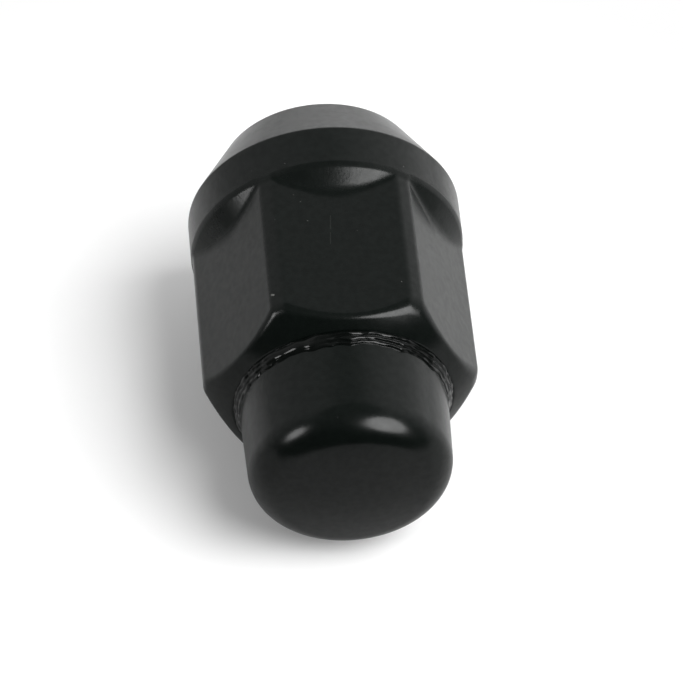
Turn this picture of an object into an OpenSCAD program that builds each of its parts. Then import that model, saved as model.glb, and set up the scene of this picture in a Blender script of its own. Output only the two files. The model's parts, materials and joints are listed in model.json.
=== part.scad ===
// Closed-end lug nut with a cone seat and a bulge under the hex.
// A forged hex body is tapped right through, and a drawn cap is welded over its outer end.
// The nut lies on its side, as a loose one comes to rest: on the rim of the bulge and on
// the tip of one hex flat. All lengths are in millimetres.

/* [Hex] */
// Width across the flats, 3/4 inch
hex_af = 19.05; // [18.6:0.05:22]
// Length of the forged body from the cone's small end to the welded end
body_len = 23.75; // [20:0.05:32]
// How far the round trim of the hex corners stays inside the bulge
corner_trim = 0.1; // [0.05:0.05:0.4]
// Slope of the crowned end chamfer where it leaves the corners, measured from the axis
chamfer_start = 35; // [20:1:38]
// Slope of the crowned end chamfer where it meets the land, measured from the axis
chamfer_end = 54; // [46:1:75]

/* [Bulge] */
// How far the bulge stands out past the flats
bulge_proud = 1.275; // [0.8:0.025:1.8]
// Length of the round wall between the cone and the hex
bulge_h = 3.3; // [2:0.1:6]
// Length of the hollow fillet from the bulge's rim to the middle of each flat
runout_len = 2; // [1.6:0.1:2.6]
// Share of the fillet's mean slope that is left where it meets the middle of each flat
runout_share = 0.55; // [0.3:0.05:0.7]
// Edge round at the rim that faces the hex
rim_edge_r = 0.2; // [0.1:0.05:0.4]

/* [Cone seat] */
// Included angle of the cone that centres the nut in the wheel
seat_angle = 60; // [56:1:66]
// Height of the cone along the axis
seat_h = 5.2; // [4:0.1:6]
// Edge round between the cone and the bulge
seat_edge_r = 0.4; // [0.1:0.05:0.8]
// Edge round at the small end of the cone
face_edge_r = 0.3; // [0.1:0.05:0.5]

/* [Stud hole] */
// Major diameter of the stud, 1/2 inch
stud_d = 12.7; // [12:0.1:13]
// Depth of the thread, from the stud's major diameter down to the hole's core
thread_depth = 0.6; // [0.4:0.05:0.9]
// Margin of the countersink at the mouth around the stud
mouth_margin = 0.35; // [0.1:0.05:0.6]
// Margin of the countersink at the capped end around the stud
inner_margin = 0.1; // [0:0.05:0.25]
// Included angle of both countersinks
countersink_angle = 90; // [60:5:120]

/* [Cap] */
// Clearance between the stud and the inside of the cap
cap_clearance = 0.35; // [0.25:0.05:0.5]
// Thickness of the drawn steel
cap_wall = 1.4; // [1:0.1:1.6]
// Height of the cap from the weld to its crown
cap_h = 9.6; // [7:0.1:16]
// Draft of the drawn wall
cap_draft = 2; // [0:0.5:4]
// Radius of the corner between wall and crown
cap_corner_r = 2.7; // [2:0.1:4]
// Radius of the crowned end
cap_crown_r = 24; // [14:1:60]

/* [Weld] */
// Width of the flat land around the cap
land_w = 0.65; // [0.6:0.05:0.95]
// Rim of the land that the weld metal leaves bare
land_margin = 0.15; // [0.05:0.05:0.3]
// Height of the weld metal on the cap
bead_h = 1; // [0.5:0.1:1.6]
// Number of ridges across the weld metal
bead_ridges = 3; // [1:1:4]
// Rise of each ridge
bead_rise = 0.12; // [0.05:0.01:0.2]

/* [Hidden] */

$fn = 96;
arc_step = 9; // largest turn between two points of an arc, in degrees
ridge_steps = 5; // straight pieces across one weld ridge

black = [0.09, 0.09, 0.09];
weld_black = [0.05, 0.05, 0.05];

// Radii about the nut's axis
flat_r = hex_af / 2;
bulge_r = flat_r + bulge_proud;
corner_r = bulge_r - corner_trim;
stud_r = stud_d / 2;
core_r = stud_r - thread_depth;
mouth_r = stud_r + mouth_margin;
inner_mouth_r = stud_r + inner_margin;
cap_r = stud_r + cap_clearance + cap_wall;
land_r = cap_r + land_w;

// Heights along the nut's axis, counted from the cone's small end
rim_z = seat_h + bulge_h;
crown_centre_z = body_len + cap_h - cap_crown_r;

// The crowned end chamfer: an arc from the trimmed corners to the land
chamfer_r = (corner_r - land_r) / (cos(chamfer_start) - cos(chamfer_end));
chamfer_centre = [land_r, body_len] - chamfer_r * [cos(chamfer_end), sin(chamfer_end)];
chamfer_line = arc(chamfer_centre, chamfer_r, chamfer_start, chamfer_end);
flat_tip_z = lookup(max(flat_r, land_r), chamfer_line);

// The fillet between bulge and flats: a hollow arc from the rim to the middle of a flat, and on under it
fillet_slope = atan2(bulge_proud, runout_len);
fillet_end = runout_share * fillet_slope;
fillet_r = norm([bulge_proud, runout_len]) / (2 * sin(fillet_slope - fillet_end));
fillet_centre = [flat_r, rim_z + runout_len] + fillet_r * [cos(fillet_end), sin(fillet_end)];

// The rim's round touches the bulge's wall and the fillet
rim_round_r = bulge_r - rim_edge_r;
rim_round_out = fillet_centre[0] - rim_round_r;
rim_round_up = sqrt(pow(fillet_r + rim_edge_r, 2) - rim_round_out * rim_round_out);
rim_round_centre = [rim_round_r, fillet_centre[1] - rim_round_up];
rim_turn = atan2(rim_round_up, rim_round_out);

// The cone and the rounds at both its ends
seat_slope = seat_angle / 2;
seat_end_r = bulge_r - seat_h * tan(seat_slope);
seat_face_r = seat_end_r - face_edge_r * tan((90 - seat_slope) / 2);
seat_round_centre = [bulge_r - seat_edge_r, seat_h + seat_edge_r * tan(seat_slope / 2)];

// The nut rests on the bulge's rim and the lower flat's tip, so its axis dips towards the cap
rest_drop = rim_round_r - flat_r;
rest_reach = flat_tip_z - rim_round_centre[1];
rest_tilt = atan2(rest_drop, rest_reach) + asin(rim_edge_r / norm([rest_drop, rest_reach]));
axis_height = flat_r * cos(rest_tilt) + flat_tip_z * sin(rest_tilt);
front_reach = crown_centre_z * cos(rest_tilt) + cap_crown_r;
back_reach = seat_face_r * sin(rest_tilt);
axis_start_y = (front_reach - back_reach) / 2;

// Points along an arc, both ends included
function arc(centre, radius, from, to) =
    let (steps = max(1, ceil(abs(to - from) / arc_step)))
    [for (i = [0:steps])
        let (a = from + (to - from) * i / steps)
        centre + radius * [cos(a), sin(a)]];

function reversed(points) = [for (i = [len(points) - 1:-1:0]) points[i]];

// Radius of the cap's wall at a height over the weld, for a wall set in by inset
function cap_wall_r(height, inset = 0) =
    cap_r - inset / cos(cap_draft) - height * tan(cap_draft);

// Centre of the cap's corner arc, which touches the drafted wall and the crown from inside
function cap_corner_centre() =
    let (
        slope = tan(cap_draft),
        start_r = cap_wall_r(0, cap_corner_r),
        start_z = body_len - crown_centre_z,
        reach = cap_crown_r - cap_corner_r,
        a = 1 + slope * slope,
        b = start_z - start_r * slope,
        c = start_r * start_r + start_z * start_z - reach * reach,
        rise = (sqrt(b * b - a * c) - b) / a
    )
    [start_r - slope * rise, body_len + rise];

// Half section of the cap's skin from its open end to the axis, set in by inset
function cap_skin(inset) =
    let (
        corner = cap_corner_centre(),
        crown_turn = atan2(corner[1] - crown_centre_z, corner[0]),
        crown = arc([0, crown_centre_z], cap_crown_r - inset, crown_turn, 90)
    )
    concat(
        [[cap_wall_r(0, inset), body_len]],
        arc(corner, cap_corner_r - inset, cap_draft, crown_turn),
        [for (i = [1:len(crown) - 1]) crown[i]]
    );

// Lays an upright nut on its side, with its lowest points at height 0
module lying() {
    translate([0, axis_start_y, axis_height])
        rotate([90 + rest_tilt, 0, 0])
            children();
}

// Cone, bulge and the hollow fillet, turned about the axis
module seat_and_bulge() {
    rotate_extrude()
        difference() {
            polygon(concat(
                [[0, 0]],
                arc([seat_face_r, face_edge_r], face_edge_r, -90, -seat_slope),
                arc(seat_round_centre, seat_edge_r, -seat_slope, 0),
                arc(rim_round_centre, rim_edge_r, 0, rim_turn),
                [[fillet_centre[0] - fillet_r / 2, fillet_centre[1]], [0, fillet_centre[1]]]
            ));
            translate(fillet_centre)
                circle(r = fillet_r);
        }
}

// Hex prism with its corners trimmed round and its outer end chamfered
module hex_shank() {
    intersection() {
        translate([0, 0, rim_z])
            cylinder(h = body_len - rim_z, r = flat_r / cos(30), $fn = 6);
        rotate_extrude()
            polygon(concat([[0, 0], [corner_r, 0]], chamfer_line, [[0, body_len]]));
    }
}

// Tapped hole at its core diameter, with a countersink at both ends
module stud_hole() {
    slope = tan(countersink_angle / 2);
    past = 1;
    rotate_extrude()
        polygon([
            [0, -past],
            [mouth_r + past * slope, -past],
            [core_r, (mouth_r - core_r) / slope],
            [core_r, body_len - (inner_mouth_r - core_r) / slope],
            [inner_mouth_r + past * slope, body_len + past],
            [0, body_len + past]
        ]);
}

// Forged and tapped hex body
module nut_body() {
    color(black)
        lying()
            difference() {
                union() {
                    hex_shank();
                    seat_and_bulge();
                }
                stud_hole();
            }
}

// Drawn cap: one wall, open towards the stud hole
module end_cap() {
    color(black)
        lying()
            rotate_extrude()
                polygon(concat(cap_skin(0), reversed(cap_skin(cap_wall))));
}

// Weld metal squeezed out between the land and the cap, in ridges that run all the way round
module weld_bead() {
    toe = [land_r - land_margin, body_len];
    top = [cap_wall_r(bead_h), body_len + bead_h];
    across = top - toe;
    outward = [across[1], -across[0]] / norm(across);
    steps = bead_ridges * ridge_steps;
    color(weld_black)
        lying()
            rotate_extrude()
                polygon(concat(
                    [[cap_r, body_len]],
                    [for (i = [0:steps])
                        toe + across * i / steps + outward * bead_rise * abs(sin(180 * i / ridge_steps))]
                ));
}

nut_body();
end_cap();
weld_bead();
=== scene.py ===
# %% [markdown]
# # A black closed-end lug nut
# The real nut is a forged and tapped hex body with a drawn cap welded over its outer end,
# coated black all over. The packed CAD model gives the sizes and the place. This lesson lays finer
# skins over it, which keep within half a millimetre of it but for the thread, gives them their
# coats, and lights them as in a small studio.

# %% Load the packed nut
import json

import bpy
import numpy as np
from mathutils import Matrix


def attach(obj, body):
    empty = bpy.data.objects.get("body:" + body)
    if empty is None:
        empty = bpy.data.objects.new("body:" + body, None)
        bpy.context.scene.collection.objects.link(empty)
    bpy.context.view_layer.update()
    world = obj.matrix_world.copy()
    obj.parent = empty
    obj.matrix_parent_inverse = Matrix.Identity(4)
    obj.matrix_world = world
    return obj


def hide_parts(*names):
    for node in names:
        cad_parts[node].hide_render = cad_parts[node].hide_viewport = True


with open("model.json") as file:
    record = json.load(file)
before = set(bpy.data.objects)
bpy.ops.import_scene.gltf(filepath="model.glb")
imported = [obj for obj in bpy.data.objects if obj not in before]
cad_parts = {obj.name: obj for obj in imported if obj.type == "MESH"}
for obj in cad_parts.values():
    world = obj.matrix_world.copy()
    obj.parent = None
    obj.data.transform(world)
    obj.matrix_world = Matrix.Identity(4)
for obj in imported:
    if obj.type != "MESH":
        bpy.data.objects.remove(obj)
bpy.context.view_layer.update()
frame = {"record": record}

MM = 0.001

# %% [markdown]
# The nut lies on its side with a slight dip towards the cap, so "up" is no help in building it.
# A machinist would work from the axis of the tapped hole instead. The packed record gives that
# axis and the middle of the hole, and from them come three directions: along the axis towards
# the cap, across a pair of corners, and out of the uppermost flat.

# %% The nut's own directions
HOLE_MID = 12.0  # mm from the cone's small end to the middle of the hole

hole = next(mount for mount in frame["record"]["mounts"] if mount["name"] == "stud_thread")
ALONG = -np.array(hole["axis"])
ACROSS = np.array([1.0, 0.0, 0.0])
OUT = np.cross(ALONG, ACROSS)
START = np.array(hole["pos_m"]) / MM - HOLE_MID * ALONG


def on_nut(radius, turn, height):
    """Start of the axis, plus height along it, plus radius in the direction that is
    the upper flat's outward one turned by turn towards the right. Lengths in mm, places in m."""
    radius, turn, height = np.broadcast_arrays(radius, turn, height)
    outward = np.sin(turn)[..., None] * ACROSS + np.cos(turn)[..., None] * OUT
    return (START + radius[..., None] * outward + height[..., None] * ALONG) * MM


print("axis starts at", START.round(3), "mm and runs along", ALONG.round(4))

# %% [markdown]
# Every skin here is a grid of points whose columns go once round the axis. Blender can spin a
# profile, but a spin gives the same outline at every angle, and a hex has a different one at
# each. So the points come from formulas, and one helper joins neighbours into quads.
# The rows of the body close into a ring through the hole. The cap ends in two poles instead,
# one inside and one outside, and those are closed by fans of triangles.

# %% From a grid of points to a mesh
def skin(name, points, poles=None):
    """Joins point (row, column) with the next row and the next column; columns wrap round.
    Rows wrap too, unless poles gives a first and a last point to end them in."""
    rows, columns = points.shape[:2]
    here = np.arange(rows * columns).reshape(rows, columns)
    below = here[:-1] if poles is not None else here
    above = here[1:] if poles is not None else np.roll(here, -1, axis=0)
    quads = np.stack([below, above, np.roll(above, -1, 1), np.roll(below, -1, 1)], -1)
    faces = quads.reshape(-1, 4).tolist()
    places = points.reshape(-1, 3)
    if poles is not None:
        first, last = rows * columns, rows * columns + 1
        ends = [np.full(columns, first), here[0], np.roll(here[0], -1)]
        faces += np.stack(ends, -1).tolist()
        ends = [here[-1], np.full(columns, last), np.roll(here[-1], -1)]
        faces += np.stack(ends, -1).tolist()
        places = np.concatenate([places, poles])
    mesh = bpy.data.meshes.new(name)
    mesh.from_pydata(places.tolist(), [], faces)
    mesh.shade_smooth()
    piece = bpy.data.objects.new(name, mesh)
    bpy.context.collection.objects.link(piece)
    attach(piece, "root")
    triangles = sum(len(face) - 2 for face in faces)
    print(name, len(places), "points,", triangles, "triangles")
    return piece


def note(piece, name, values):
    """Writes one number per point into the mesh, for a material to read."""
    layer = piece.data.attributes.new(name, "FLOAT", "POINT")
    layer.data.foreach_set("value", values.ravel())


# %% [markdown]
# Two curves turn up in every profile: a piece of a circle, and a short soft bend over a corner.
# Both give their points as an array with the radii in its first row and the heights in its second.

# %% Arcs and bends
def arc(centre, radius, first, last, count):
    """Points on a circle: the centre plus radius times cosine and sine of even angles."""
    angle = np.radians(np.linspace(first, last, count))
    return np.stack([centre[0] + radius * np.cos(angle), centre[1] + radius * np.sin(angle)])


def bend(before, corner, after, share):
    """Rounds a corner: the curve that leaves before towards corner and reaches after from it,
    (1-t)^2 before + 2t(1-t) corner + t^2 after, at the shares t."""
    t = share.reshape((1, -1) + (1,) * (np.ndim(corner) - 1))
    a, b, c = (np.asarray(p, float)[:, None] for p in (before, corner, after))
    return (1 - t) ** 2 * a + 2 * t * (1 - t) * b + t ** 2 * c


print("middle of a quarter circle", arc((0, 0), 1, 0, 90, 3)[:, 1].round(3))
print("middle of a bend", bend((1, 0), (1, 1), (0, 1), np.array([0.5]))[:, 0])

# %% [markdown]
# The hex is forged, then turned: its corners are cut round, a little inside the bulge below.
# Seen along the axis, the outline is therefore the nearer of a flat and a circle.
# A forged edge is never razor sharp, so the two are blended where they come within about a tenth
# of a millimetre of each other.
# The columns stand close together where the outline turns sharply and wide apart on the flats.

# %% Outline of the hex with its corners turned off
FLAT_R, CORNER_R, BULGE_R = 9.525, 10.7, 10.8
CORNER_BLEND = 0.11
FLAT_SPAN = 25.6  # degrees to either side of a flat's middle


def hex_outline(turn):
    """Distance from the axis at each angle: flat divided by the cosine of the angle from the
    nearest flat's middle, but not past the turned corner, the two joined by a soft minimum."""
    off = (turn + np.pi / 6) % (np.pi / 3) - np.pi / 6
    flat = FLAT_R / np.cos(off)
    share = np.clip(0.5 + (CORNER_R - flat) / (2 * CORNER_BLEND), 0, 1)
    return CORNER_R + (flat - CORNER_R) * share - CORNER_BLEND * share * (1 - share)


sector = np.concatenate([np.linspace(-FLAT_SPAN, FLAT_SPAN, 27, endpoint=False),
                         np.linspace(FLAT_SPAN, 60 - FLAT_SPAN, 18, endpoint=False)])
turn = np.radians((sector + 60 * np.arange(6)[:, None]).ravel())
edge = hex_outline(turn)
print("hex columns", turn.size, "radius from", edge.min().round(3), "to", edge.max().round(3))

# %% [markdown]
# Below the hex sit the cone that centres the nut in the wheel and the bulge that carries it.
# Both are plain turned forms, so one profile serves all columns. It starts at the mouth of the
# hole and ends on the bulge's wall. Short arcs round the cone at both ends.

# %% Cone seat and bulge
MOUTH_R, SEAT_H, SEAT_ANGLE = 6.7, 5.2, 30
MOUTH_EDGE, FACE_ROUND, SEAT_ROUND = 0.06, 0.3, 0.4

cone_slope = np.tan(np.radians(SEAT_ANGLE))
cone_end_r = BULGE_R - SEAT_H * cone_slope
face_r = cone_end_r - FACE_ROUND * np.tan(np.radians(90 - SEAT_ANGLE) / 2)
round_at = (BULGE_R - SEAT_ROUND, SEAT_H + SEAT_ROUND * np.tan(np.radians(SEAT_ANGLE) / 2))
cone_r = np.array([7.95, 8.5, 9.2, 9.9, 10.6])
wall_z = [5.36, 5.9, 6.8, 7.8, 8.25]
seat_line = np.concatenate([
    bend((MOUTH_R - MOUTH_EDGE, MOUTH_EDGE), (MOUTH_R, 0.0), (MOUTH_R + 0.1, 0.0),
         np.linspace(0, 1, 4)),
    [[6.95, 7.3, 7.55], [0, 0, 0]],
    arc((face_r, FACE_ROUND), FACE_ROUND, -90, -SEAT_ANGLE, 7),
    [cone_r, (cone_r - cone_end_r) / cone_slope],
    arc(round_at, SEAT_ROUND, -SEAT_ANGLE, 0, 7),
    [[BULGE_R] * len(wall_z), wall_z],
], axis=1)
seat_rows = np.repeat(seat_line[:, :, None], turn.size, axis=2)
print("seat rows", seat_rows.shape[1], "cone ends at radius", cone_end_r.round(3))

# %% [markdown]
# Where the flats run out into the bulge, the forging die leaves a hollow scallop: a fillet that
# goes all the way round and is buried under the corners. Its path is drawn once, by its slope:
# it rolls over the rim, runs down evenly, then eases off until it meets the middle of a flat.
# At each height the body is as wide as the path or the hex, whichever is wider. A plain maximum
# would leave a sharp line there, so the two are blended over a few tenths of a millimetre.
# The hollow keeps the rougher skin of the die, with marks along the axis. How far a point lies in
# it is kept for the coat.

# %% Scallops between bulge and flats
RIM_Z, RIM_END, SCALLOP_END = 8.58, 9.18, 11.4
SLOPE_RUN = [0.0, 0.10, 0.48, 0.62, 1.9, 2.8, 3.6]  # mm along the path
SLOPE = [0.0, 12.0, 23.0, 35.0, 35.0, 22.0, 12.0]  # degrees from the axis
SCALLOP_SOFT, DIE_EDGE = 0.27, 0.1  # mm

run = np.linspace(0, SLOPE_RUN[-1], 641)
slope = np.radians(np.interp(run, SLOPE_RUN, SLOPE))
step = run[1] * np.stack([-np.sin(slope), np.cos(slope)])
path = np.array([[BULGE_R], [RIM_Z]]) + np.cumsum(step, axis=1) - step[:, :1]


def hollow(height):
    """Radius of the path at a height."""
    return np.interp(height, path[1], path[0])


def scallop(height):
    """The path's radius at a height or the hex's radius, the larger one. Where they are closer
    than the blend, a quarter of it is added, times the square of how close they are."""
    close = np.clip(1 - np.abs(hollow(height) - edge) / SCALLOP_SOFT, 0, 1)
    wide = np.maximum(hollow(height), edge) + SCALLOP_SOFT / 4 * close ** 2
    return np.minimum(wide, BULGE_R)


scallop_z = np.concatenate([np.linspace(RIM_Z, RIM_END, 16, endpoint=False),
                            np.linspace(RIM_END, SCALLOP_END, 44)])[:, None]
scallop_rows = np.stack(np.broadcast_arrays(scallop(scallop_z), scallop_z))
die_skin = np.clip((hollow(scallop_z) - edge) / DIE_EDGE, 0, 1)
print("scallop rows", len(die_skin), "from", RIM_Z, "to", SCALLOP_END, "mm")

# %% [markdown]
# The outer end of the hex is turned to a crowned chamfer: steep where it leaves the corners and
# rolling over towards the weld. A bevel modifier would cut it evenly, but the real one is a circle
# turned about the axis, so on a flat it cuts a curved edge. That edge is worn soft, most of all at
# the corners on the right, so it is rounded with one short curve from the flat to the crown.

# %% Flats and crowned chamfer
BODY_END, LAND_R = 23.75, 8.62
CHAMFER_FROM, CHAMFER_TO = np.radians(44), np.radians(57)
CHAMFER_R = (CORNER_R - LAND_R) / (np.cos(CHAMFER_FROM) - np.cos(CHAMFER_TO))
CHAMFER_AT = np.array([LAND_R - CHAMFER_R * np.cos(CHAMFER_TO),
                       BODY_END - CHAMFER_R * np.sin(CHAMFER_TO)])
WORN, CORNER_WEAR, LAND_WORN = 0.32, 0.55, 0.1
WORN_SIDE = np.pi / 3  # the flat to the right of the upper one


def on_chamfer(angle):
    """The crown's circle at an angle from straight outwards."""
    return np.stack([CHAMFER_AT[0] + CHAMFER_R * np.cos(angle),
                     CHAMFER_AT[1] + CHAMFER_R * np.sin(angle)])


meet = np.arccos((edge - CHAMFER_AT[0]) / CHAMFER_R)
crease = np.stack([edge, on_chamfer(meet)[1]])
uneven = 0.5 + 0.5 * np.cos(turn - WORN_SIDE)
worn = WORN + CORNER_WEAR * uneven * (edge - FLAT_R) / (CORNER_R - FLAT_R)
print("chamfer radius", CHAMFER_R.round(3), "flat ends at", crease[1].min().round(2),
      crease[1].max().round(2))

# %% [markdown]
# Now the rows between the scallops and the weld: the flats, the worn curve over each edge, the
# crown itself, and a small bend at its end onto the land. Rows lie closer together near a bend,
# so that smooth shading doesn't smear it over the flat.

# %% Rows of the hex's outer end
flat_end = crease - np.stack([0 * worn, worn])
flat_share = np.array([0.02, 0.06, 0.15, 0.3, 0.5, 0.7, 0.85, 0.94, 0.98])[:, None]
flat_rows = scallop_rows[:, -1:] * (1 - flat_share) + flat_end[:, None] * flat_share
worn_end = meet + worn / CHAMFER_R
worn_rows = bend(flat_end, crease, on_chamfer(worn_end), np.linspace(0, 1, 11))
crown_end = CHAMFER_TO - LAND_WORN / CHAMFER_R
crown_share = np.array([0.05, 0.12, 0.25, 0.4, 0.55, 0.7, 0.85, 0.95])[:, None]
crown_rows = on_chamfer(worn_end * (1 - crown_share) + crown_end * crown_share)
land_line = bend(on_chamfer(crown_end), (LAND_R, BODY_END), (LAND_R - LAND_WORN, BODY_END),
                 np.linspace(0, 1, 6))
end_line = np.concatenate([land_line, [[8.5, 7.6, 6.6], [BODY_END] * 3]], axis=1)
end_rows = np.repeat(end_line[:, :, None], turn.size, axis=2)
print("rows", flat_rows.shape[1], worn_rows.shape[1], crown_rows.shape[1], end_rows.shape[1])

# %% [markdown]
# Inside, the hole is tapped right through for the wheel stud. The thread is a shallow vee that
# climbs one pitch for each turn, right-handed, and a countersink opens it at both ends.
# In the grid it is a radius that depends on height and angle together, so it needs no screw
# modifier and joins the outside without a seam.

# %% Tapped hole and the whole body
CORE_R, THREAD_DEPTH, PITCH = 5.75, 0.6, 1.27
CREST, ROOT = 0.25, 0.125  # flat shares of the vee, at the core and at the bottom
INNER_MOUTH_R = 6.45


def tapped(height, turn):
    """Core radius plus the depth of a vee, whose phase goes up by one for each pitch of height
    and for each turn, or the countersink's cone where that is wider."""
    phase = (height / PITCH + turn / (2 * np.pi)) % 1
    groove = np.clip((np.abs(2 * phase - 1) - CREST) / (1 - CREST - ROOT), 0, 1)
    vee = CORE_R + THREAD_DEPTH * groove
    return np.maximum(vee, np.maximum(MOUTH_R - height, INNER_MOUTH_R - (BODY_END - height)))


hole_z = np.linspace(BODY_END - 0.02, 0.12, 188)[:, None]
hole_rows = np.stack(np.broadcast_arrays(tapped(hole_z, turn), hole_z))
body_rows = np.concatenate([seat_rows, scallop_rows, flat_rows, worn_rows, crown_rows,
                            end_rows, hole_rows], axis=1)
body = skin("forged_body", on_nut(body_rows[0], turn, body_rows[1]))
forged = np.zeros(body_rows.shape[1:])
forged[seat_rows.shape[1]:][:len(die_skin)] = die_skin
note(body, "forged", forged)
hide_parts("nut_body")

# %% [markdown]
# The cap is a small cup drawn from sheet steel: a wall with a little draft, a generous corner and
# a crowned end. Outside and inside are the same three curves, one wall thickness apart, so the
# corner's centre is worked out once: it lies one corner radius inside the wall and the crown.
# The profile runs from the pole inside, down to the open edge and up again to the pole outside.

# %% Drawn cap
CAP_R, CAP_H, CAP_WALL, CAP_DRAFT = 8.1, 9.6, 1.4, np.radians(2)
CAP_CORNER_R, CROWN_R = 2.7, 24.0
CROWN_AT = (0.0, BODY_END + CAP_H - CROWN_R)
NEARLY_ON_AXIS = 89.7  # degrees on the crown, just short of the pole


def cap_corner():
    """A point on the wall moved in by the corner's radius lies rise over the foot, and as far
    from the crown's centre as the two radii differ. That is a quadratic in rise."""
    slope = np.tan(CAP_DRAFT)
    foot_r = CAP_R - CAP_CORNER_R / np.cos(CAP_DRAFT)
    foot_z = BODY_END - CROWN_AT[1]
    reach = CROWN_R - CAP_CORNER_R
    rise = np.roots([1 + slope ** 2, 2 * (foot_z - foot_r * slope),
                     foot_r ** 2 + foot_z ** 2 - reach ** 2]).max()
    return foot_r - slope * rise, BODY_END + rise


CAP_CORNER_AT = cap_corner()
CROWN_TURN = np.degrees(np.arctan2(CAP_CORNER_AT[1] - CROWN_AT[1], CAP_CORNER_AT[0]))


def cap_line(inset, wall_points):
    """Drafted wall, corner arc and crown arc from the open edge to just short of the axis,
    all moved inwards by inset."""
    foot = np.array([CAP_R - inset / np.cos(CAP_DRAFT), BODY_END])
    corner = arc(CAP_CORNER_AT, CAP_CORNER_R - inset, np.degrees(CAP_DRAFT), CROWN_TURN, 26)
    crown = arc(CROWN_AT, CROWN_R - inset, CROWN_TURN, NEARLY_ON_AXIS, 22)[:, 1:]
    wall = foot[:, None] * (1 - wall_points) + corner[:, :1] * wall_points
    return np.concatenate([wall, corner, crown], axis=1)


wall_share = np.array([0, 0.02, 0.1, 0.25, 0.4, 0.55, 0.7, 0.85, 0.95])
cap_rows = np.concatenate([cap_line(CAP_WALL, wall_share)[:, ::-1],
                           cap_line(0.0, wall_share)], axis=1)
cap_turn = np.linspace(0, 2 * np.pi, 288, endpoint=False)
cap_poles = np.stack([START + (CROWN_AT[1] + CROWN_R - inset) * ALONG for inset in (CAP_WALL, 0)])
cap = skin("drawn_cap", on_nut(cap_rows[0][:, None], cap_turn, cap_rows[1][:, None]),
           cap_poles * MM)
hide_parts("end_cap")

# %% [markdown]
# Pressed together and welded, body and cap squeeze out a little molten metal. It freezes as a
# collar of thin rolls that run round it side by side, and no two places of it are alike.
# A noise texture would not know where the ring ends, so the collar is made uneven by sums of
# waves with whole numbers of crests, which close the ring. Other helpers pick out a part of it.

# %% Uneven waves round the weld
rng = np.random.default_rng(7)
weld_turn = np.linspace(0, 2 * np.pi, 900, endpoint=False)


def wander(low, high, fall=0.5):
    """Sum of cosines with low to high crests round the ring, each with a random start and a
    height that falls with the number of crests, brought to a spread of about one."""
    crests = np.arange(low, high + 1)
    start = rng.uniform(0, 2 * np.pi, crests.size)
    size = rng.normal(0, 1, crests.size) * crests ** -fall
    waves = (size[:, None] * np.cos(crests[:, None] * weld_turn + start[:, None])).sum(0)
    return waves / waves.std()


def soft_step(x):
    """One over one plus e to the minus x: 0 far below zero, 1 far above it."""
    return 1 / (1 + np.exp(-x))


def off_from(middle):
    """Degrees between each column and an angle, the short way round."""
    return np.abs((np.degrees(weld_turn) - middle + 180) % 360 - 180)


def stretch(first, last, soft=2):
    """1 between two angles in degrees and 0 outside them, with ends that are soft degrees wide."""
    return soft_step(((last - first) / 2 - off_from((first + last) / 2)) / soft)


print("weld columns", weld_turn.size)

# %% [markdown]
# Across the collar the rolls are a row of roofs with sharp valleys between them, and each roll is
# somewhere between a roof and a plump dome. The valleys wander and the rolls swell and sink.
# A height above the slope from the land to the cap holds all of that in one array.

# %% Rolls of the weld
ROLLS, ROLL_RISE, RIPPLE_RISE = 2.9, 0.1, 0.006  # rolls across the collar, then mm
HIGH_PART = (-50, 62)  # degrees between which the rolls stand highest

across = np.linspace(0, 1, 72)[:, None]
wave = across * (ROLLS + 0.1 * wander(1, 5)) + 0.05 * wander(2, 9)
roll = np.clip(np.floor(wave).astype(int), -1, 3) + 1
domed = np.stack([soft_step(4 * (wander(8, 26, 0.2) - 0.4)) for _ in range(5)])
domed = np.take_along_axis(domed, roll, axis=0)
from_ridge = np.abs(2 * (wave % 1) - 1)
swell = ROLL_RISE * np.clip(1 + 0.2 * wander(4, 30, 0.3), 0.4, 1.4)
swell = swell * (0.4 + 0.6 * stretch(*HIGH_PART))
ripple = sum(np.sin(np.pi * n * across) * wander(20, 75, 0.2) for n in range(2, 6))
rise = swell * (1 - from_ridge + domed * (from_ridge - from_ridge ** 3)) + RIPPLE_RISE * ripple
print("rolls rise up to", rise.max().round(3), "mm")

# %% [markdown]
# On the upper left the rolls run together into one smooth lump. It takes the rolls' place there and
# is lowered in its middle, so that the image of a lamp stretches into a long thin streak.
# At both edges the height fades out, so that the collar sits on the land and the cap. Three hidden
# points behind it close the ring.

# %% Smooth stretch and the whole collar
WELD_TOE, WELD_TOP = np.array([8.53, 23.74]), np.array([8.05, 24.72])
WELD_BACK = np.array([[8.0, 8.0, 8.4], [24.2, 23.71, 23.71]])
SMOOTH_PART, LUMP_PART = (-50, -13), (-46, -8)  # degrees
SMOOTH_SHARE, LUMP_LOW, LUMP_RISE = 0.9, 0.05, 0.17  # a share, then mm
DENT_MID, DENT_HALF, DENT = -28, 14, 0.11  # degrees, degrees, mm
TOE_FADE, TOP_FADE = 0.04, 0.05  # shares of the width
TOE_WANDER, TOP_WANDER = 0.03, 0.07  # mm

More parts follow.
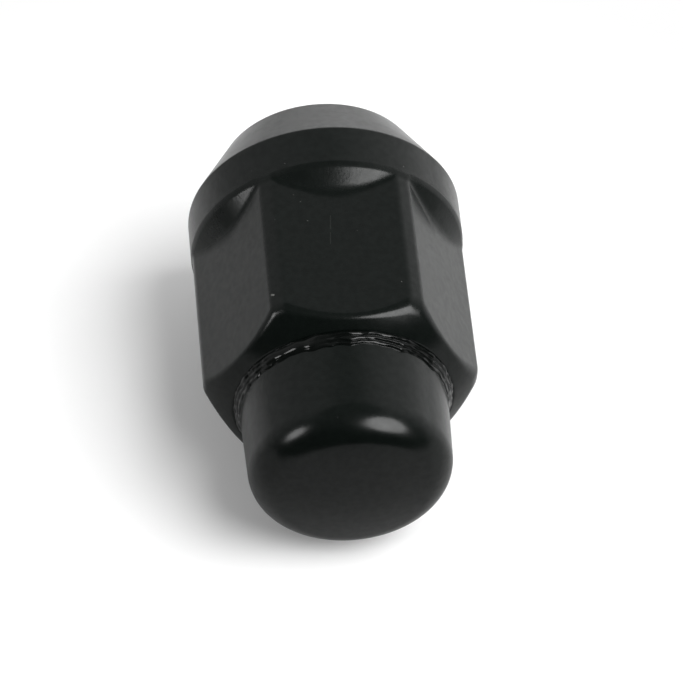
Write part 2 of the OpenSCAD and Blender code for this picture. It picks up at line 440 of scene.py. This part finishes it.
dent = DENT * np.clip(1 - (off_from(DENT_MID) / DENT_HALF) ** 2, 0, 1)
plump = LUMP_LOW + LUMP_RISE * stretch(*LUMP_PART, 4)
lump = plump * (1 - (2 * across - 1) ** 2) - dent + RIPPLE_RISE / 10 * ripple
rise = rise + SMOOTH_SHARE * stretch(*SMOOTH_PART) * (lump - rise)
rise = rise * np.clip(across / TOE_FADE, 0, 1) * np.clip((1 - across) / TOP_FADE, 0, 1)
toe_r = WELD_TOE[0] + TOE_WANDER * wander(3, 40, 0.3)
top_z = WELD_TOP[1] + TOP_WANDER * wander(3, 40, 0.3)
lean = (WELD_TOP - WELD_TOE) / np.hypot(*(WELD_TOP - WELD_TOE))
weld_r = toe_r + (WELD_TOP[0] - toe_r) * across + rise * lean[1]
weld_z = WELD_TOE[1] + (top_z - WELD_TOE[1]) * across - rise * lean[0]
back_rows = np.repeat(WELD_BACK[:, :, None], weld_turn.size, axis=2)
weld_rows = np.concatenate([np.stack([weld_r, weld_z]), back_rows], axis=1)
weld = skin("weld_collar", on_nut(weld_rows[0], weld_turn, weld_rows[1]))
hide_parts("weld_bead")

# %% [markdown]
# Materials are node trees. Wiring them by hand is slow to read, so a socket is wrapped in a small
# class: sums and products of wrapped sockets add Math nodes, and one method adds any other node.

# %% Reckoning with sockets
class Wire:
    """A socket of a node tree. Reckoning with it adds Math nodes; node adds any other."""

    def __init__(self, tree, socket=None):
        self.tree, self.socket = tree, socket

    def node(self, kind, settings=None, inputs=None, out=0):
        made = self.tree.nodes.new(kind)
        for key, value in (settings or {}).items():
            setattr(made, key, value)
        for key, value in (inputs or {}).items():
            if isinstance(value, Wire):
                self.tree.links.new(value.socket, made.inputs[key])
            else:
                made.inputs[key].default_value = value
        return Wire(self.tree, made.outputs[out]) if made.outputs else None

    def maths(self, operation, first, second):
        return self.node("ShaderNodeMath", {"operation": operation}, {0: first, 1: second})

    def __add__(self, other):
        return self.maths("ADD", self, other)

    def __sub__(self, other):
        return self.maths("SUBTRACT", self, other)

    def __rsub__(self, other):
        return self.maths("SUBTRACT", other, self)

    def __mul__(self, other):
        return self.maths("MULTIPLY", self, other)

    __radd__ = __add__
    __rmul__ = __mul__

    def between(self, low, high):
        """0 below low, 1 above high, and a smooth step between."""
        return self.node("ShaderNodeMapRange", {"interpolation_type": "SMOOTHSTEP"},
                         {"Value": self, "From Min": low, "From Max": high})

    def blend(self, first, second):
        """The first colour where this is 0, the second where it is 1."""
        return self.node("ShaderNodeMix", {"data_type": "RGBA"}, {0: self, 6: first, 7: second}, 2)

    def parts(self):
        """The x, y and z of this vector."""
        made = self.node("ShaderNodeSeparateXYZ", {}, {0: self}).socket.node
        return [Wire(self.tree, socket) for socket in made.outputs]


print("a wire can", ", ".join(name for name in vars(Wire) if not name.startswith("_")))

# %% [markdown]
# A few small helpers for all materials: an empty one to start from, noise with so many lumps to
# the metre, a grey, and putting a material on a piece in place of whatever it had.

# %% Helpers for materials
def new_material(name):
    material = bpy.data.materials.new(name)
    material.use_nodes = True
    material.node_tree.nodes.clear()
    return material, Wire(material.node_tree)


def noise(place, lumps, detail):
    """Noise with about so many lumps to the metre, each broken up detail times."""
    return place.node("ShaderNodeTexNoise", {}, {"Vector": place, "Scale": lumps, "Detail": detail})


def grey(value):
    return [value, value, value, 1.0]


def put_on(piece, material):
    piece.data.materials.clear()
    piece.data.materials.append(material)
    print(material.name, "on", piece.name, "with", len(material.node_tree.nodes), "nodes")


# %% [markdown]
# Handling leaves a faint scratch and a few chips on the coat. Painting them on an image would tie
# them to a map of the surface. Instead each is a short stroke between two places on the nut, and
# the coat turns greyer where a point is near it, so a stroke stays sharp at any zoom.

# %% Scratch and chips
def stroke(place, first, last, width):
    """1 within half the width of the line from first to last, falling to 0 at the width. The
    nearest point of the line is first plus the share of the way that the place has gone."""
    way = last - first
    gone = place.node("ShaderNodeVectorMath", {"operation": "SUBTRACT"}, {0: place, 1: first})
    gone = gone.node("ShaderNodeVectorMath", {"operation": "DOT_PRODUCT"},
                     {0: gone, 1: way / (way @ way)}, 1)
    share = gone.node("ShaderNodeClamp", {}, {0: gone})
    foot = share.node("ShaderNodeVectorMath", {"operation": "SCALE"}, {0: way, "Scale": share})
    foot = foot.node("ShaderNodeVectorMath", {"operation": "ADD"}, {0: foot, 1: first})
    off = foot.node("ShaderNodeVectorMath", {"operation": "DISTANCE"}, {0: place, 1: foot}, 1)
    return 1 - off.between(width / 2, width)


# strength, width in mm, then both ends as radius in mm, turn in degrees and height in mm
MARKS = [
    (0.07, 0.06, (9.561, -3.67, 13.11), (9.565, -4.33, 14.41)),
    (0.07, 0.06, (9.567, -4.53, 14.81), (9.572, -5.08, 15.91)),
    (0.30, 0.06, (9.829, -14.3, 13.53), (9.829, -14.2, 13.56)),
    (0.25, 0.06, (9.931, -16.4, 11.59), (9.931, -16.5, 11.62)),
    (0.40, 0.06, (10.434, 24.1, 19.87), (10.434, 24.2, 19.92)),
    (1.00, 0.11, (10.70, -32.1, 20.43), (10.70, -31.3, 20.52)),
    (0.40, 0.07, (10.80, 30.8, 8.10), (10.80, 30.9, 8.12)),
    (0.30, 0.06, (10.80, -20.7, 8.17), (10.80, -20.5, 8.18)),
]
print("marks", len(MARKS))

# %% [markdown]
# The coat is a thin black satin lacquer, very slightly green. It is not even: its gloss changes in
# soft clouds a few millimetres wide, its clear top is mottled, its surface has the fine dimples of
# a dipped coat, and dust leaves specks. In the scallops it follows the die marks and is duller.
# Each of these is a noise of its own scale, because one noise can't be coarse and fine at once.

# %% Black satin coat
COAT_IOR, CLEAR_IOR = 1.285, 1.3
DUST, BARE = [0.03, 0.03, 0.029, 1.0], [0.12, 0.12, 0.115, 1.0]
ALONG_DIE = (1.0, 0.08, 1.0)  # stretches a noise along the nut's length
DIE_DEPTH = 4.0  # in dimples
CLOUD_DULL, GRAIN_DULL, DIE_DULL = 0.12, 0.06, 0.08  # added to the roughness
MOTTLE_CLEAR, GRAIN_CLEAR = 0.16, 0.06  # weight of the clear top


def satin_black(name, colour, gloss, dimple, speckle, marks=()):
    """Lacquer: gloss drifts with a cloud, a mottle and a grain thin and thicken its clear top, and
    a fine noise lifts the surface by dimple metres, with streaks along the nut where the die has
    left its skin. Speckle is the strength of the dust."""
    material, tree = new_material(name)
    place = tree.node("ShaderNodeTexCoord", out=3)
    cloud = noise(place, 420.0, 4.0)
    peel = noise(place, 2600.0, 3.0)
    grain = noise(place, 9000.0, 2.0)
    mottle = noise(place, 1900.0, 6.0)
    drawn = tree.node("ShaderNodeMapping", {}, {"Vector": place, "Scale": ALONG_DIE})
    streak = noise(drawn, 5000.0, 3.0)
    speck = tree.node("ShaderNodeTexVoronoi", {}, {"Vector": place, "Scale": 900.0})
    speck = (1 - speck.between(0.03, 0.09)) * cloud.between(0.52, 0.62) * speckle
    dark, light = ([part * tone for part in colour] + [1.0] for tone in (0.9, 1.1))
    base = speck.blend(mottle.between(0.3, 0.72).blend(dark, light), DUST)
    for strength, width, first, last in marks:
        ends = [on_nut(r, np.radians(t), h) for r, t, h in (first, last)]
        base = (stroke(place, *ends, width * MM) * strength).blend(base, BARE)
    in_die = tree.node("ShaderNodeAttribute", {"attribute_name": "forged"}, {}, 2)
    rough = gloss + (cloud - 0.5) * CLOUD_DULL + (grain - 0.5) * GRAIN_DULL + in_die * DIE_DULL
    lift = peel * 0.7 + grain * 0.3 + streak * in_die * DIE_DEPTH
    bump = tree.node("ShaderNodeBump", {}, {"Height": lift, "Distance": dimple, "Strength": 1.0})
    clear = mottle.between(0.3, 0.7) * MOTTLE_CLEAR + grain.between(0.3, 0.7) * GRAIN_CLEAR
    shader = tree.node("ShaderNodeBsdfPrincipled", {}, {
        "Base Color": base, "Roughness": rough, "IOR": COAT_IOR, "Normal": bump,
        "Coat Weight": clear, "Coat IOR": CLEAR_IOR, "Coat Roughness": gloss})
    tree.node("ShaderNodeOutputMaterial", {}, {"Surface": shader})
    return material


put_on(body, satin_black("body_coat", (0.0028, 0.0043, 0.0036), 0.21, 3e-6, 0.6, MARKS))
put_on(cap, satin_black("cap_coat", (0.0024, 0.0039, 0.0032), 0.21, 2e-6, 0.4))
put_on(weld, satin_black("weld_coat", (0.0028, 0.0036, 0.0032), 0.13, 2e-6, 0.0))

# %% [markdown]
# The nut lies on a white sheet that fills the picture. The sheet is a plain diffuse floor, so it
# takes the shadow. A little glow that only the camera sees, and that grows away from the
# nut, keeps the rest of it white without putting more light on the nut.
# What the coat mirrors is not quite what the camera sees: there the sheet is painted darker towards
# the front and the left, and a little darker around the cap. On the left this is painted shade for
# the nut's shadow, around the cap it is painted contact shade, and far in front it is dim like a
# dark room beyond the sheet. That was judged by the greys that the flats and the cap's end show in
# the picture.

# %% White floor
FLOOR_HALF, FLOOR_FRONT, FLOOR_BACK = 0.12, -0.05, 0.12
MIRRORED_DIM, MIRRORED_FULL = 0.13, 0.71
# from and to along y in m, and how much lighter the painted shade of the mirrored sheet gets on the
# way
MIRRORED_STEPS = [(-0.060, -0.036, 0.80), (-0.032, -0.020, -0.14), (-0.012, 0.003, 0.34)]
# painted shadow: at the left, where the nut's shadow falls, the mirrored sheet keeps only this
# share
MIRRORED_LEFT, LEFT_HALF = 0.78, 0.03  # share at the left; it grows to 1 over twice this, in m
GLOW_FROM, GLOW_TO = 0.03, 0.055

floor_mesh = bpy.data.meshes.new("white_floor")
corners = [(-FLOOR_HALF, FLOOR_FRONT, 0), (FLOOR_HALF, FLOOR_FRONT, 0),
           (FLOOR_HALF, FLOOR_BACK, 0), (-FLOOR_HALF, FLOOR_BACK, 0)]
floor_mesh.from_pydata(corners, [], [(0, 1, 2, 3)])
floor = bpy.data.objects.new("white_floor", floor_mesh)
bpy.context.collection.objects.link(floor)

paper, tree = new_material("white_paper")
on_floor = tree.node("ShaderNodeTexCoord", out=3)
away = tree.node("ShaderNodeVectorMath", {"operation": "LENGTH"}, {0: on_floor}, 1)
floor_x, floor_y, _ = on_floor.parts()
# painted shade: the mirrored sheet is darker in front, at the left under the nut's shadow, and
# around the cap
painted_light_share = sum(floor_y.between(first, last) * step for first, last, step in MIRRORED_STEPS)
painted_light_share = painted_light_share * (MIRRORED_LEFT + floor_x.between(-LEFT_HALF, LEFT_HALF) * (1 - MIRRORED_LEFT))
dim = tree.node("ShaderNodeBsdfDiffuse", {}, {"Color": grey(MIRRORED_DIM)})
full = tree.node("ShaderNodeBsdfDiffuse", {}, {"Color": grey(MIRRORED_FULL)})
mirrored = tree.node("ShaderNodeMixShader", {}, {0: painted_light_share, 1: dim, 2: full})
pale = tree.node("ShaderNodeBsdfDiffuse", {}, {"Color": grey(1.0)})
glow = tree.node("ShaderNodeEmission", {}, {"Color": grey(1.0), "Strength": 1.0})
far = away.between(GLOW_FROM, GLOW_TO)
white = tree.node("ShaderNodeMixShader", {}, {0: far, 1: pale, 2: glow})
by_camera = tree.node("ShaderNodeLightPath")
lit = tree.node("ShaderNodeMixShader", {}, {0: by_camera, 1: mirrored, 2: white})
tree.node("ShaderNodeOutputMaterial", {}, {"Surface": lit})
put_on(floor, paper)

# %% [markdown]
# A black coat shows little of its own colour. What the eye reads is the room mirrored in it:
# a big soft lamp at the front right, a smaller one at the left, the white floor, and dim walls.
# So those lamps are placed by the angles at which their images appear on the nut.
# The shadow on the sheet is softer and falls lower than the first lamp would cast it. One lamp
# can't do both, so the first is hidden from matt surfaces, and a third casts the shadow and is
# hidden from mirror images.

# %% Soft lamps
LAMP_AWAY = 0.6  # m from the nut


def turned(right, up, back, place):
    """Matrix of an object whose own x, y and z point right, up and back."""
    return Matrix([[*row, spot] for row, spot in zip(np.stack([right, up, back], 1), place)]
                  + [[0, 0, 0, 1]])


def towards(azimuth, elevation):
    """Direction from the nut at an azimuth, counted from the front to the right, and an elevation,
    both in radians; then what is level and to the right for someone who looks back from there."""
    back = np.array([np.sin(azimuth) * np.cos(elevation), -np.cos(azimuth) * np.cos(elevation),
                     np.sin(elevation)])
    right = np.cross([0, 0, 1], back)
    return back, right / np.linalg.norm(right)


def soft_lamp(name, azimuth, elevation, width, tall, radiance):
    """An oval that faces the nut. Blender's watts are four times radiance times area, and the
    area of an oval is a quarter of pi times width times height."""
    back, right = towards(*np.radians([azimuth, elevation]))
    data = bpy.data.lights.new(name, "AREA")
    data.shape, data.size, data.size_y = "ELLIPSE", width, tall
    data.energy = np.pi * radiance * width * tall
    lamp = bpy.data.objects.new(name, data)
    lamp.matrix_world = turned(right, np.cross(back, right), back, back * LAMP_AWAY)
    lamp.visible_camera = False
    bpy.context.collection.objects.link(lamp)
    print(name, "watts", round(data.energy, 2))
    return lamp


key = soft_lamp("lamp_right", 42, 37, 0.44, 0.44, 8.0)
soft_lamp("lamp_left", -66, 24, 0.19, 0.24, 8.0)
shadow = soft_lamp("lamp_shadow", 58, 51, 0.62, 0.62, 3.95)
key.visible_diffuse = False
shadow.visible_glossy = False

# %% [markdown]
# Around the lamps the room is dim in front and pale behind the nut, as if the sheet rose there.
# That helps to light the nut, and its coat mirrors it. The camera sees plain white instead, so that
# the ground of the picture is even. An image of a studio could be wrapped round the scene, but a
# few smooth steps along the ray's direction do the same and can be read.

# %% Room
ROOM_FRONT, ROOM_BACK, ROOM_LOW, ROOM_TOP = 0.06, 0.62, 0.6, 0.24
FRONT_HIGH, FRONT_DEEP, BACK_RIGHT, LOW_RIGHT = 0.11, 0.06, 0.4, 0.6  # added towards one side

world = bpy.data.worlds.new("studio")
bpy.context.scene.world = world
world.use_nodes = True
world.node_tree.nodes.clear()
tree = Wire(world.node_tree)
ray_x, ray_y, ray_z = tree.node("ShaderNodeTexCoord", out=0).parts()
front = ROOM_FRONT + ray_z.between(0.4, 0.9) * FRONT_HIGH
front = front + (1 - ray_z.between(-0.6, -0.3)) * FRONT_DEEP
behind = ROOM_BACK + ray_x.between(0.0, 0.8) * BACK_RIGHT
low = ROOM_LOW + ray_x.between(-0.6, 0.2) * LOW_RIGHT
behind = behind + (1 - ray_z.between(0.05, 0.35)) * (low - behind)
walls = front + ray_y.between(-0.45, 0.35) * (behind - front)
room = walls + ray_z.between(0.80, 0.92) * (ROOM_TOP - walls)
by_camera = tree.node("ShaderNodeLightPath")
shade = by_camera.blend(room, grey(1.0))
sky = tree.node("ShaderNodeBackground", {}, {"Color": shade, "Strength": 1.0})
tree.node("ShaderNodeOutputWorld", {}, {"Surface": sky})
bpy.context.scene.view_settings.view_transform = "Standard"
print("world", world.name, "with", len(world.node_tree.nodes), "nodes")

# %% [markdown]
# The camera stands where the photographer's did: a long lens, well above the nut and slightly to
# its left, rolled a little. The numbers come from fitting the nut's edges to the picture.

# %% Camera
FOCAL_PIXELS, PICTURE, SENSOR = 4708.446, 683, 36.0
AZIMUTH, ELEVATION, ROLL = np.radians([-7.9728, 46.0637, 3.9523])
AIM, AWAY = np.array([0.6272, 0.3791, 7.9323]) * MM, 369.954 * MM

back, level = towards(AZIMUTH, ELEVATION)
right = np.cos(ROLL) * level + np.sin(ROLL) * np.cross(back, level)
camera_data = bpy.data.cameras.new("camera")
camera_data.sensor_width = SENSOR
camera_data.lens = FOCAL_PIXELS * SENSOR / PICTURE
camera_data.clip_start, camera_data.clip_end = 0.01, 20.0
camera = bpy.data.objects.new("camera", camera_data)
camera.matrix_world = turned(right, np.cross(back, right), back, AIM + AWAY * back)
bpy.context.collection.objects.link(camera)
bpy.context.scene.camera = camera
print("lens", round(camera_data.lens, 1), "mm")

# %% [markdown]
